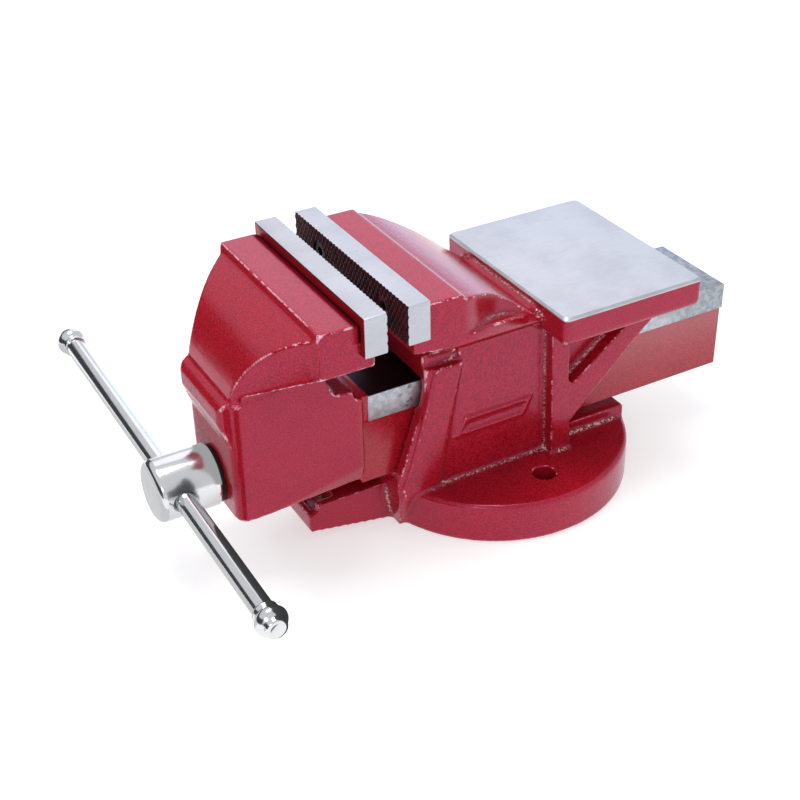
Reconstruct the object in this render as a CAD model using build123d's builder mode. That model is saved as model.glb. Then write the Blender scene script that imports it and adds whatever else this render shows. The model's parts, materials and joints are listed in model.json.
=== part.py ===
import os
from math import cos, radians, sin

from build123d import *

# Bench vise with a fixed round base, an anvil behind the jaws and a slide that runs under it.
# Frame: origin at the centre of the base's underside, +Z up, +X from the jaws towards the anvil.
# The side with the smaller Y is called near, the other one far.
# Sizes in millimetres.

os.makedirs("parts", exist_ok=True)

# Driving dimensions
jaw_width = 100.0
plate_thickness = 10.0
plate_height = 17.7
jaw_top = 127.8  # top of both jaw plates
jaw_face = -71.5  # gripping face of the fixed jaw
rest_gap = 9.2  # how far the jaws stand open at rest
casting_top = 124.0  # flat top of both jaw castings
head_half = 46.8  # half the width of both jaw castings
base_radius = 63.0
base_thickness = 19.6
bolt_offset = 43.6  # bench bolt holes, from the centre along Y
bolt_hole_radius = 5.25
anvil_front, anvil_rear = 4.5, 77.9
anvil_half = 48.3
anvil_top = 98.8
anvil_thickness = 14.0
slide_top = 74.4
slide_bottom = 30.0
slide_rear = 114.3
flange_half, flange_height = 23.0, 13.0  # machined guides of the slide
slide_half = 21.5
slide_cavity_half, slide_cavity_top = 15.0, 64.0
screw_height = 44.0  # axis of the lead screw above the bench
thread_radius, thread_depth, thread_pitch = 8.0, 1.6, 4.0
journal_radius = 9.0
head_radius = 13.6
handle_radius = 4.45
handle_tilt = 1.2  # degrees that the far end of the handle stands up at rest
handle_far, handle_near = 137.2, 100.6  # handle ends from the screw's axis

# Clearances
running = 0.06  # radial, round fits that turn or slide
guide = 0.35  # slide in its channel
seat = 0.05  # round a fixed screw, pin or washer

# Places that follow from them
grip = jaw_face - rest_gap  # gripping face of the moving jaw
moving_back = grip - plate_thickness  # back of the moving plate
fixed_back = jaw_face + plate_thickness
plate_bottom = jaw_top - plate_height
ledge = 4.0  # the castings stop this far behind the gripping faces
head_bottom = 103.0
box_front = jaw_face - 66.5
box_rear = jaw_face - 8.5
box_half = 24.4
lip_half = 21.8
box_bottom = 32.0
screw_front = jaw_face - 95.3
handle_x = jaw_face - 84.8
body_front = jaw_face + 20.0
body_rear = jaw_face + 93.0
body_half = 27.5
leg_half = body_half + 1.6
channel_floor = slide_bottom - guide
plate_screw_offset = 28.0
plate_screw_height = plate_bottom + 7.6
plate_screw_places = [(-plate_screw_offset, plate_screw_height), (plate_screw_offset, plate_screw_height)]
screw_head_radius, screw_shank_radius = 4.9, 2.5
screw_sink, screw_head_length, screw_reach = 0.8, 3.2, 18.0
plate_recess = screw_sink + screw_head_length
front_wall = 14.5  # metal of the box in front of its hollow
frame_rise = 1.0  # of the blank frame on the body's sides
cavity_front = box_front + front_wall
strut_inner, strut_width, web_depth = 33.0, 9.5, 6.5
keel_rear, keel_half = jaw_face + 129.3, 24.0
base_recess = 10.5  # depth of the hollow under the base
boss_wall = 7.0  # metal round each bench bolt hole, in the hollow
nut_bolt_x, nut_bolt_radius = jaw_face + 45, 5.0
nut_pin_x, nut_pin_radius = jaw_face + 58, 2.5
nut_grip = 4.0  # how far bolt and pin reach into the nut
nut_bolt_seat = 8.5  # underside of the washer
split_pin_radius = 2.0


def outline(points, mode=Mode.ADD):
    """Closed straight-sided outline in the current sketch, at its own coordinates."""
    Polygon(*points, align=None, mode=mode)


# Moving jaw: upper head, from the plate seat forward to the rounded front
front_curve = [
    (moving_back - 19.5, 120.6),
    (moving_back - 31.0, 114.6),
    (moving_back - 39.3, 105.6),
    (moving_back - 44.4, 96.0),
    (moving_back - 46.2, 90.0),
]
block_front = moving_back - 17.7

with BuildPart() as moving_head:
    with BuildSketch(Plane.XZ):
        with BuildLine():
            Polyline(
                front_curve[-1],
                (front_curve[-1][0], 84.0),
                (grip - ledge, 84.0),
                (grip - ledge, plate_bottom),
                (moving_back, plate_bottom),
                (moving_back, casting_top),
                (block_front, casting_top),
                (block_front - 0.8, 121.4),
                front_curve[0],
            )
            Spline(*front_curve)
        make_face()
    extrude(amount=head_half, both=True)
    with BuildSketch(Plane.XY.offset(80)):
        with BuildLine():
            Polyline(
                (front_curve[-1][0] - 1, 0),
                (front_curve[-1][0] - 1, box_half - 4),
                (moving_back - 41.5, box_half),
                (block_front - 1.6, head_half - 3.4),
                (block_front - 0.4, head_half - 0.4),
                (block_front + 1.2, head_half),
                (grip, head_half),
                (grip, 0),
            )
            mirror(about=Plane.XZ)
        make_face()
    extrude(amount=50, mode=Mode.INTERSECT)
    with BuildSketch(Plane.YZ.offset(box_front - 5)):
        with BuildLine():
            Polyline(
                (0, casting_top),
                (head_half, casting_top),
                (head_half, head_bottom + 1),
                (box_half - 0.5, 92.0),
                (box_half - 0.5, 84.0),
                (0, 84.0),
            )
            mirror(about=Plane.YZ)
        make_face()
    extrude(amount=90, mode=Mode.INTERSECT)

# Lip across the front of the box, its ends rounded in plan
with BuildPart() as front_lip:
    with BuildSketch(Plane.XZ):
        with BuildLine():
            Polyline(
                (box_front + 1.2, 90.0),
                (box_front + 14.0, 90.0),
                (box_front + 14.0, 68.5),
                (box_front, 68.5),
                (box_front - 3.6, 79.0),
            )
            ThreePointArc(
                (box_front - 3.6, 79.0), (box_front - 3.2, 86.6), (box_front + 1.2, 90.0)
            )
        make_face()
    extrude(amount=lip_half, both=True)
    with BuildSketch(Plane.XY.offset(60)):
        with Locations((box_front + 5.4, 0)):
            RectangleRounded(18.4, 2 * lip_half, 4.0)
    extrude(amount=40, mode=Mode.INTERSECT)

# Rear face of the neck: the throat under the jaws
throat_x = jaw_face - 24.5

with BuildPart() as moving_jaw:
    # box below the head, with the lip across its front
    with BuildSketch(Plane.XZ):
        with BuildLine():
            Polyline(
                (box_front, 88.0),
                (throat_x, 92.0),
                (throat_x, 88.0),
            )
            RadiusArc((throat_x, 88.0), (throat_x + 13.0, slide_top + 1.0), 13.5)
            Polyline(
                (throat_x + 13.0, slide_top + 1.0),
                (box_rear, slide_top),
                (box_rear, box_bottom),
                (box_front, box_bottom),
                (box_front, 88.0),
            )
        make_face()
    extrude(amount=box_half, both=True)
    fillet(moving_jaw.edges().filter_by(Axis.Z).group_by(Axis.X)[0], 5.0)
    add(front_lip.part)
    # lower rear edges slope in to the narrower slide
    for side in (-1, 1):
        with BuildSketch(Plane.YZ.offset(box_front + 4)):
            outline(
                [
                    (side * (box_half - 0.4), box_bottom - 1),
                    (side * (box_half + 1), box_bottom + 0.5),
                    (side * (box_half + 1), box_bottom - 1),
                ]
            )
        with BuildSketch(Plane.YZ.offset(box_rear)):
            outline(
                [
                    (side * (slide_half - 0.9), box_bottom - 1),
                    (side * (box_half + 1), box_bottom + 11.5),
                    (side * (box_half + 1), box_bottom - 1),
                ]
            )
        loft(mode=Mode.SUBTRACT)
    add(moving_head.part)
    # seat of the jaw plate: cut above the throat, behind the plate
    with BuildSketch(Plane.XZ):
        with BuildLine():
            Polyline(
                (throat_x + 1.5, head_bottom),
                (grip + 1, head_bottom),
                (grip + 1, 80.0),
                (throat_x + 4.0, 80.0),
            )
            Polyline((throat_x + 4.0, 80.0), (throat_x, 88.0), (throat_x, head_bottom - 1.5))
            Line((throat_x, head_bottom - 1.5), (throat_x + 1.5, head_bottom))
        make_face()
    extrude(amount=head_half + 1, both=True, mode=Mode.SUBTRACT)
    # slide bar with its machined guides
    with BuildSketch(Plane.YZ.offset(box_rear)):
        with Locations((0, (slide_top + slide_bottom) / 2)):
            Rectangle(2 * slide_half, slide_top - slide_bottom)
        with Locations((0, slide_top - flange_height / 2)):
            Rectangle(2 * flange_half, flange_height)
    extrude(amount=slide_rear - box_rear)
    chamfer(moving_jaw.edges().filter_by(Axis.Y).group_by(Axis.X)[-1].sort_by(Axis.Z)[-1:], 0.8)
    # hollow for the lead screw and the nut, open below and at the rear
    with BuildSketch(Plane.YZ.offset(cavity_front)):
        with BuildLine():
            Polyline(
                (0, slide_cavity_top),
                (slide_cavity_half - 4, slide_cavity_top),
                (slide_cavity_half, slide_cavity_top - 4),
                (slide_cavity_half, slide_bottom - 1),
                (0, slide_bottom - 1),
            )
            mirror(about=Plane.YZ)
        make_face()
    extrude(amount=slide_rear - cavity_front + 1, mode=Mode.SUBTRACT)
    # bore for the journal of the lead screw
    with BuildSketch(Plane.YZ.offset(box_front - 1)):
        with Locations((0, screw_height)):
            Circle(journal_radius + running)
    extrude(amount=20, mode=Mode.SUBTRACT)
    # tapped holes of the plate screws
    with BuildSketch(Plane.YZ.offset(moving_back)):
        with Locations(*plate_screw_places):
            Circle(screw_shank_radius + seat)
    extrude(amount=-14, mode=Mode.SUBTRACT)
moving_jaw.part.label = "moving_jaw"

# Fixed jaw: head with the sloping back that runs down to the anvil
with BuildPart() as fixed_head:
    with BuildSketch(Plane.XZ):
        outline(
            [
                (jaw_face + ledge, plate_bottom),
                (fixed_back, plate_bottom),
                (fixed_back, casting_top),
                (jaw_face + 26, casting_top),
                (jaw_face + 26, 80.0),
                (body_front, 80.0),
                (body_front, head_bottom - 2.0),
                (jaw_face + ledge, head_bottom),
            ]
        )
    extrude(amount=head_half, both=True)
    with BuildSketch(Plane.YZ.offset(jaw_face)):
        with BuildLine():
            Polyline(
                (0, casting_top),
                (head_half, casting_top),
                (head_half, head_bottom - 2),
                (body_half, 87.5),
                (body_half, 80.0),
                (0, 80.0),
            )
            mirror(about=Plane.YZ)
        make_face()
    extrude(amount=60, mode=Mode.INTERSECT)

with BuildPart() as fixed_ramp:
    with BuildSketch(Plane.XZ):
        with BuildLine():
            Polyline(
                (jaw_face + 76, 92.5),
                (jaw_face + 76, 80.0),
                (jaw_face + 20, 80.0),
                (jaw_face + 20, casting_top),
                (jaw_face + 26.5, casting_top),
                (jaw_face + 28.0, 122.0),
            )
            Spline(
                (jaw_face + 28.0, 122.0),
                (jaw_face + 40.0, 118.0),
                (jaw_face + 52.0, 111.0),
                (jaw_face + 64.0, 101.5),
                (jaw_face + 76, 92.5),
            )
        make_face()
    extrude(amount=head_half, both=True)
    with BuildSketch(Plane.XY.offset(78)):
        with BuildLine():
            Polyline((jaw_face + 20, 0), (jaw_face + 20, head_half), (jaw_face + 28, head_half))
            Spline(
                (jaw_face + 28, head_half),
                (jaw_face + 36, 43.4),
                (jaw_face + 47, 37.2),
                (jaw_face + 62, 34.5),
                (jaw_face + 77, 34.0),
            )
            Line((jaw_face + 77, 34.0), (jaw_face + 77, 0))
            mirror(about=Plane.XZ)
        make_face()
    extrude(amount=50, mode=Mode.INTERSECT)

with BuildPart() as fixed_skirt:
    with BuildSketch(Plane.XZ):
        outline(
            [
                (jaw_face + 20, 80.0),
                (jaw_face + 20, 105.5),
                (jaw_face + 40, 105.0),
                (jaw_face + 56, 101.5),
                (jaw_face + 76, 92.5),
                (jaw_face + 76, 80.0),
            ]
        )
    extrude(amount=head_half, both=True)
    with BuildSketch(Plane.XY.offset(78)):
        with BuildLine():
            Polyline((jaw_face + 20, 0), (jaw_face + 20, head_half), (jaw_face + 32, head_half))
            Spline(
                (jaw_face + 32, head_half),
                (jaw_face + 46, 43.0),
                (jaw_face + 62, 36.5),
                (jaw_face + 76, 29.0),
            )
            Line((jaw_face + 76, 29.0), (jaw_face + 76, 0))
            mirror(about=Plane.XZ)
        make_face()
    extrude(amount=50, mode=Mode.INTERSECT)

with BuildPart() as fixed_corbel:
    add(fixed_ramp.part)
    add(fixed_skirt.part)
    with BuildSketch(Plane.YZ.offset(jaw_face)):
        with BuildLine():
            Polyline(
                (0, casting_top),
                (head_half, casting_top),
                (head_half, head_bottom - 2),
                (body_half, 87.5),
                (body_half, 80.0),
                (0, 80.0),
            )
            mirror(about=Plane.YZ)
        make_face()
    extrude(amount=90, mode=Mode.INTERSECT)

# Side view of the strut that carries the rear of the anvil
strut_foot = (body_rear - 4, 34.0)
strut_tip = (anvil_rear - 1.5, anvil_top - anvil_thickness + 1)
column_front = jaw_face + 80.5

with BuildPart() as upright:
    # upright body, its front leaning back towards the jaw
    with BuildSketch(Plane.XZ):
        with BuildLine():
            Polyline((jaw_face + 6, 24.0), (jaw_face + 9.3, 0.0), (0, 0.0), (body_rear - 8, 2.0))
            Polyline(
                (body_rear - 8, 2.0),
                (body_rear, base_thickness - 1),
                (body_rear, anvil_top - 6),
                (jaw_face + 70, anvil_top - 2.4),
                (jaw_face + 60, 96.0),
                (body_front, 96.0),
                (body_front, 73.0),
            )
            Spline(
                (body_front, 73.0),
                (jaw_face + 15.4, 54.0),
                (jaw_face + 8.6, 34.0),
                (jaw_face + 6, 24.0),
                tangents=((0, -1), (0, -1)),
            )
        make_face()
    extrude(amount=body_half, both=True)
    # leg ribs on both sides of the front
    with BuildSketch(Plane.XZ):
        with BuildLine():
            Polyline(
                (jaw_face + 7.5, 24.0),
                (jaw_face + 10.5, 3.0),
                (jaw_face + 22.0, 3.0),
                (jaw_face + 26.5, 22.5),
                (jaw_face + 32.0, 52.5),
                (jaw_face + 38.0, 80.5),
                (jaw_face + 24.5, 80.5),
            )
            Spline(
                (jaw_face + 24.5, 80.5),
                (jaw_face + 18.2, 57.0),
                (jaw_face + 10.6, 32.0),
                (jaw_face + 7.5, 24.0),
            )
        make_face()
    extrude(amount=leg_half, both=True)
    # the foot narrows where it runs into the round base
    with BuildSketch(Plane.YZ.offset(jaw_face)):
        with BuildLine():
            Polyline((0, 0), (21.5, 0), (leg_half, 21.0), (leg_half, 100.0), (0, 100.0))
            mirror(about=Plane.YZ)
        make_face()
    extrude(amount=body_rear - jaw_face + 1, mode=Mode.INTERSECT)

# Anvil slab, its lower edges rounded
with BuildPart() as anvil:
    with BuildSketch(Plane.XY.offset(anvil_top - anvil_thickness)):
        with Locations(((anvil_front + anvil_rear) / 2, 0)):
            RectangleRounded(anvil_rear - anvil_front, 2 * anvil_half, 2.5)
    extrude(amount=anvil_thickness)
    fillet(anvil.faces().sort_by(Axis.Z)[0].edges(), 3.0)

with BuildPart() as fixed_body:
    # round base
    with BuildSketch(Plane.XY):
        Circle(base_radius)
    extrude(amount=base_thickness)
    fillet(fixed_body.edges().group_by(Axis.Z)[-1], 2.2)
    fillet(fixed_body.edges().group_by(Axis.Z)[0], 1.0)
    add(upright.part)
    add(fixed_head.part)
    add(fixed_corbel.part)
    add(anvil.part)
    # columns and struts under the anvil, in front of a thin web
    for side in (-1, 1):
        outward = Plane.XZ.offset(-side * strut_inner)
        with BuildSketch(outward):
            outline(
                [
                    (column_front, anvil_top - 10),
                    (column_front + 2, base_thickness - 4),
                    (body_rear, base_thickness - 4),
                    (body_rear - 2.5, anvil_top - 10),
                ]
            )
            outline(
                [
                    strut_foot,
                    strut_tip,
                    (strut_tip[0] - 12, strut_tip[1]),
                    (strut_foot[0], strut_foot[1] + 15.5),
                ]
            )
        extrude(amount=side * strut_width)
        with BuildSketch(outward):
            outline(
                [
                    (body_rear - 6, base_thickness - 4),
                    (body_rear - 6, anvil_top - 10),
                    (strut_tip[0] - 2, strut_tip[1]),
                    (strut_foot[0] + 3, strut_foot[1]),
                    (body_rear, base_thickness - 4),
                ]
            )
        extrude(amount=side * strut_width)
        with BuildSketch(outward):
            outline(
                [
                    (body_rear - 2.2, strut_foot[1] + 18.5),
                    (body_rear - 2.6, anvil_top - anvil_thickness),
                    (strut_tip[0] - 15.5, anvil_top - anvil_thickness),
                ]
            )
            fillet(vertices(), 2.0)
        extrude(amount=side * web_depth, mode=Mode.SUBTRACT)
    # keel behind the body, under the slide
    with BuildSketch(Plane.XY.offset(base_thickness - 2)):
        with Locations(((body_rear - 4 + keel_rear) / 2, 0)):
            Rectangle(keel_rear - body_rear + 4, 2 * keel_half)
    extrude(amount=8.2)
    # tongue in front of the base, its underside rising, with a pocket behind its end
    with BuildSketch(Plane.XZ):
        outline(
            [
                (jaw_face + 12, 0.0),
                (jaw_face - 31, 7.5),
                (jaw_face - 31, 15.8),
                (jaw_face - 27.5, 16.6),
                (jaw_face - 26.5, 20.6),
                (jaw_face + 12, 20.6),
            ]
        )
    extrude(amount=15.0, both=True)
    with BuildSketch(Plane.XY.offset(12.0)):
        with Locations((jaw_face - 23.0, 0)):
            RectangleRounded(10.0, 22.0, 2.0)
    extrude(amount=12.0, mode=Mode.SUBTRACT)
    # channel for the slide and its guides, right through
    with BuildSketch(Plane.YZ.offset(jaw_face + 2)):
        with Locations((0, (channel_floor + slide_top + guide) / 2)):
            Rectangle(2 * (slide_half + guide), slide_top + guide - channel_floor)
        with Locations((0, slide_top - flange_height / 2)):
            Rectangle(2 * (flange_half + guide), flange_height + 2 * guide)
    extrude(amount=anvil_rear - jaw_face + 20, mode=Mode.SUBTRACT)
    # notch between the jaw head and the top of each leg
    for side in (-1, 1):
        with BuildSketch(Plane.XZ.offset(-side * (body_half + 3))):
            outline(
                [
                    (jaw_face + 14, 80.5),
                    (jaw_face + 37.0, 80.5),
                    (jaw_face + 36.0, 87.0),
                    (jaw_face + 14, 87.0),
                ]
            )
        extrude(amount=side * 5.4, mode=Mode.SUBTRACT)
        # blank raised frame on the side behind the leg
        with BuildSketch(Plane.XZ.offset(-side * (body_half - 0.5))):
            outline(
                [
                    (jaw_face + 35.0, 42.5),
                    (jaw_face + 39.2, 51.0),
                    (jaw_face + 74.0, 51.0),
                    (jaw_face + 69.8, 42.5),
                ]
            )
            outline(
                [
                    (jaw_face + 37.9, 44.2),
                    (jaw_face + 40.4, 49.3),
                    (jaw_face + 71.3, 49.3),
                    (jaw_face + 68.8, 44.2),
                ],
                mode=Mode.SUBTRACT,
            )
        extrude(amount=-side * (0.5 + frame_rise))
    # recess under the base, round bosses for the bench bolts left standing
    with BuildSketch(Plane.XY):
        Circle(base_radius - 9)
        with Locations((0, bolt_offset), (0, -bolt_offset)):
            Circle(bolt_hole_radius + boss_wall, mode=Mode.SUBTRACT)
    extrude(amount=base_recess, mode=Mode.SUBTRACT)
    # bench bolt holes
    with BuildSketch(Plane.XY.offset(-1)):
        with Locations((0, bolt_offset), (0, -bolt_offset)):
            Circle(bolt_hole_radius)
    extrude(amount=base_thickness + 10, mode=Mode.SUBTRACT)
    # hole of the nut's bolt and its locating pin
    with BuildSketch(Plane.XY):
        with Locations((nut_bolt_x, 0)):
            Circle(nut_bolt_radius + seat)
        with Locations((nut_pin_x, 0)):
            Circle(nut_pin_radius + seat)
    extrude(amount=channel_floor + 1, mode=Mode.SUBTRACT)
    # tapped holes of the plate screws
    with BuildSketch(Plane.YZ.offset(fixed_back)):
        with Locations(*plate_screw_places):
            Circle(screw_shank_radius + seat)
    extrude(amount=14, mode=Mode.SUBTRACT)
fixed_body.part.label = "fixed_body"


# Jaw plates: hardened steel, with two countersunk holes each
def jaw_plate(face, back):
    """Plate between two X positions, its countersinks opening at the gripping face."""
    inward = 1 if back > face else -1
    with BuildPart() as plate:
        with BuildSketch(Plane.YZ.offset(face)):
            with Locations((0, jaw_top - plate_height / 2)):
                Rectangle(jaw_width, plate_height)
        extrude(amount=back - face)
        chamfer(plate.edges().filter_by(Axis.Y).group_by(Axis.Z)[-1], 0.5)
        with BuildSketch(Plane.YZ.offset(face)):
            with Locations(*plate_screw_places):
                Circle(screw_shank_radius + seat)
        extrude(amount=back - face, mode=Mode.SUBTRACT)
        with BuildSketch(Plane.YZ.offset(face)):
            with Locations(*plate_screw_places):
                Circle(screw_head_radius + seat)
        extrude(amount=inward * plate_recess, mode=Mode.SUBTRACT)
    return plate


def plate_screw(face, back, offset):
    """Socket screw sunk below the gripping face, its shank reaching into the casting."""
    inward = 1 if back > face else -1
    with BuildPart() as screw:
        with BuildSketch(Plane.YZ.offset(face + inward * screw_sink)):
            with Locations((offset, plate_screw_height)):
                Circle(screw_head_radius)
        extrude(amount=inward * screw_head_length)
        with BuildSketch(Plane.YZ.offset(face + inward * plate_recess)):
            with Locations((offset, plate_screw_height)):
                Circle(screw_shank_radius)
        extrude(amount=inward * screw_reach)
        with BuildSketch(Plane.YZ.offset(face + inward * screw_sink)):
            with Locations((offset, plate_screw_height)):
                RegularPolygon(2.4, 6)
        extrude(amount=inward * 2.0, mode=Mode.SUBTRACT)
    return screw


fixed_jaw_plate = jaw_plate(jaw_face, fixed_back)
fixed_jaw_plate.part.label = "fixed_jaw_plate"
moving_jaw_plate = jaw_plate(grip, moving_back)
moving_jaw_plate.part.label = "moving_jaw_plate"

plate_screws = []
for owner, face, back in (("fixed", jaw_face, fixed_back), ("moving", grip, moving_back)):
    for place, offset in (("near", -plate_screw_offset), ("far", plate_screw_offset)):
        screw = plate_screw(face, back, offset)
        screw.part.label = f"{owner}_jaw_screw_{place}"
        plate_screws.append(screw)

# Main nut: sits on the floor of the channel inside the slide
nut_front, nut_length, nut_top = jaw_face + 36, 28.0, 57.5
with BuildPart() as main_nut:
    with BuildSketch(Plane.YZ.offset(nut_front)):
        with Locations((0, (channel_floor + nut_top) / 2)):
            Rectangle(24.0, nut_top - channel_floor)
    extrude(amount=nut_length)
    chamfer(main_nut.edges().filter_by(Axis.X).group_by(Axis.Z)[-1], 5.0)
    with BuildSketch(Plane.YZ.offset(nut_front - 1)):
        with Locations((0, screw_height)):
            Circle(thread_radius + running)
    extrude(amount=nut_length + 2, mode=Mode.SUBTRACT)
    with BuildSketch(Plane.XY.offset(channel_floor - 1)):
        with Locations((nut_bolt_x, 0)):
            Circle(nut_bolt_radius + seat)
        with Locations((nut_pin_x, 0)):
            Circle(nut_pin_radius + seat)
    extrude(amount=nut_grip + 1.5, mode=Mode.SUBTRACT)
main_nut.part.label = "main_nut"

with BuildPart() as nut_washer:
    with BuildSketch(Plane.XY.offset(nut_bolt_seat)):
        with Locations((nut_bolt_x, 0)):
            Circle(2 * nut_bolt_radius)
            Circle(nut_bolt_radius + seat, mode=Mode.SUBTRACT)
    extrude(amount=2.0)
nut_washer.part.label = "nut_washer"

with BuildPart() as nut_bolt:
    with BuildSketch(Plane.XY.offset(nut_bolt_seat - 6.4)):
        with Locations((nut_bolt_x, 0)):
            RegularPolygon(9.2, 6)
    extrude(amount=6.4)
    with BuildSketch(Plane.XY.offset(nut_bolt_seat)):
        with Locations((nut_bolt_x, 0)):
            Circle(nut_bolt_radius)
    extrude(amount=channel_floor + nut_grip - nut_bolt_seat)
nut_bolt.part.label = "nut_bolt"

with BuildPart() as nut_pin:
    with BuildSketch(Plane.XY.offset(14.0)):
        with Locations((nut_pin_x, 0)):
            Circle(nut_pin_radius)
    extrude(amount=channel_floor + nut_grip - 14.0)
nut_pin.part.label = "nut_pin"

# Lead screw: chrome head with a cross hole, plain journal, then the thread cut as rings
head_back = box_front - 1.8
journal_end = cavity_front + 15.0
thread_start = journal_end + 2.0
thread_end = jaw_face + 150.0
thread_root = thread_radius - thread_depth
handle_plane = Plane(
    origin=(handle_x, 0, screw_height),
    x_dir=(1, 0, 0),
    z_dir=(0, cos(radians(handle_tilt)), sin(radians(handle_tilt))),
)

with BuildPart() as lead_screw:
    with BuildSketch(Plane(origin=(0, 0, screw_height), x_dir=(1, 0, 0), z_dir=(0, -1, 0))):
        with BuildLine():
            Polyline(
                (thread_start, 0),
                (screw_front, 0),
                (screw_front, head_radius - 3.0),
            )
            RadiusArc(
                (screw_front, head_radius - 3.0), (screw_front + 3.0, head_radius), 3.0
            )
            rings = [(screw_front + 3.0, head_radius), (head_back - 1.2, head_radius)]
            rings += [(head_back, head_radius - 1.2), (head_back, journal_radius)]
            rings += [(journal_end, journal_radius), (journal_end, thread_root)]
            rings += [(thread_start, thread_root)]
            turns = int((thread_end - thread_start) / thread_pitch)
            for turn in range(turns):
                start = thread_start + turn * thread_pitch
                rings += [
                    (start + 0.28 * thread_pitch, thread_root),
                    (start + 0.42 * thread_pitch, thread_radius),
                    (start + 0.72 * thread_pitch, thread_radius),
                    (start + 0.86 * thread_pitch, thread_root),
                ]
            last = thread_start + turns * thread_pitch
            rings += [(last, thread_root), (last + 4.0, thread_root - 1.0), (last + 4.0, 0)]
            Polyline(*rings)
            Line((last + 4.0, 0), (thread_start, 0))
        make_face()
    revolve(axis=Axis((0, 0, screw_height), (1, 0, 0)))
    with BuildSketch(handle_plane):
        Circle(handle_radius + running)
    extrude(amount=head_radius + 5, both=True, mode=Mode.SUBTRACT)
    # hole of the split pin behind the front wall
    with BuildSketch(Plane.XY.offset(screw_height)):
        with Locations((cavity_front + 12.0, 0)):
            Circle(split_pin_radius + seat)
    extrude(amount=journal_radius + 1, both=True, mode=Mode.SUBTRACT)
lead_screw.part.label = "lead_screw"


def ring(start, length, inner, outer, name):
    """Plain washer round the lead screw."""
    with BuildPart() as washer:
        with BuildSketch(Plane.YZ.offset(start)):
            with Locations((0, screw_height)):
                Circle(outer)
                Circle(inner, mode=Mode.SUBTRACT)
        extrude(amount=length)
    washer.part.label = name
    return washer


spindle_washer = ring(box_front - 1.8, 1.5, journal_radius + seat, 12.6, "spindle_washer")
pin_washer = ring(cavity_front + 8.0, 1.9, journal_radius + seat, 13.4, "pin_washer")

# Disc springs that take up the play between the front wall and the pin
with BuildPart() as disc_springs:
    for number in range(2):
        start = cavity_front + 0.4 + number * 3.8
        lean = 1.6 if number == 0 else -1.6
        with BuildSketch(Plane(origin=(0, 0, screw_height), x_dir=(1, 0, 0), z_dir=(0, -1, 0))):
            low = start + max(0.0, -lean)
            outline(
                [
                    (low, journal_radius + 0.2),
                    (low + lean, 13.2),
                    (low + lean + 1.6, 13.2),
                    (low + 1.6, journal_radius + 0.2),
                ]
            )
        revolve(axis=Axis((0, 0, screw_height), (1, 0, 0)))
disc_springs.part.label = "disc_springs"

with BuildPart() as split_pin:
    with BuildSketch(Plane.XY.offset(screw_height - 11.5)):
        with Locations((cavity_front + 12.0, 0)):
            Circle(split_pin_radius)
    extrude(amount=23.0)
split_pin.part.label = "split_pin"

# Handle: a bar with a stepped knob on each end
knob_length, knob_socket = 11.5, 8.0
with BuildPart() as handle_bar:
    with BuildSketch(handle_plane.offset(-(handle_near - knob_length + knob_socket))):
        Circle(handle_radius)
    extrude(amount=handle_near + handle_far - 2 * (knob_length - knob_socket))
handle_bar.part.label = "handle_bar"


def handle_knob(inner, direction, name):
    """Turned knob with a collar, a round belly and a small end face."""
    with BuildPart() as knob:
        section = Plane(
            origin=handle_plane.origin + handle_plane.z_dir * inner,
            x_dir=handle_plane.z_dir * direction,
            z_dir=(1, 0, 0),
        )
        with BuildSketch(section):
            with BuildLine():
                Polyline((0, 0), (0, 5.4), (1.4, 5.4), (2.1, 4.9), (2.8, 5.3))
                ThreePointArc((2.8, 5.3), (5.9, 6.75), (9.0, 5.3))
                Polyline((9.0, 5.3), (9.3, 4.7), (knob_length - 0.6, 4.7), (knob_length, 4.1))
                Polyline((knob_length, 4.1), (knob_length, 0), (0, 0))
            make_face()
        revolve(axis=Axis(section.origin, section.x_dir))
        with BuildSketch(Plane(origin=section.origin, x_dir=(1, 0, 0), z_dir=section.x_dir)):
            Circle(handle_radius + 0.02)
        extrude(amount=knob_socket, mode=Mode.SUBTRACT)
    knob.part.label = name
    return knob


handle_knob_far = handle_knob(handle_far - knob_length, 1, "handle_knob_far")
handle_knob_near = handle_knob(-(handle_near - knob_length), -1, "handle_knob_near")

finished = [
    fixed_body,
    fixed_jaw_plate,
    moving_jaw,
    moving_jaw_plate,
    main_nut,
    nut_bolt,
    nut_washer,
    nut_pin,
    lead_screw,
    spindle_washer,
    disc_springs,
    pin_washer,
    split_pin,
    handle_bar,
    handle_knob_far,
    handle_knob_near,
]
for piece in finished + plate_screws:
    export_step(piece.part, f"parts/{piece.part.label}.step")
    print(piece.part.label, round(piece.part.volume))
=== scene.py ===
import json
import math

import bmesh
import bpy
import numpy as np
from mathutils import Matrix, Vector


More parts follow.
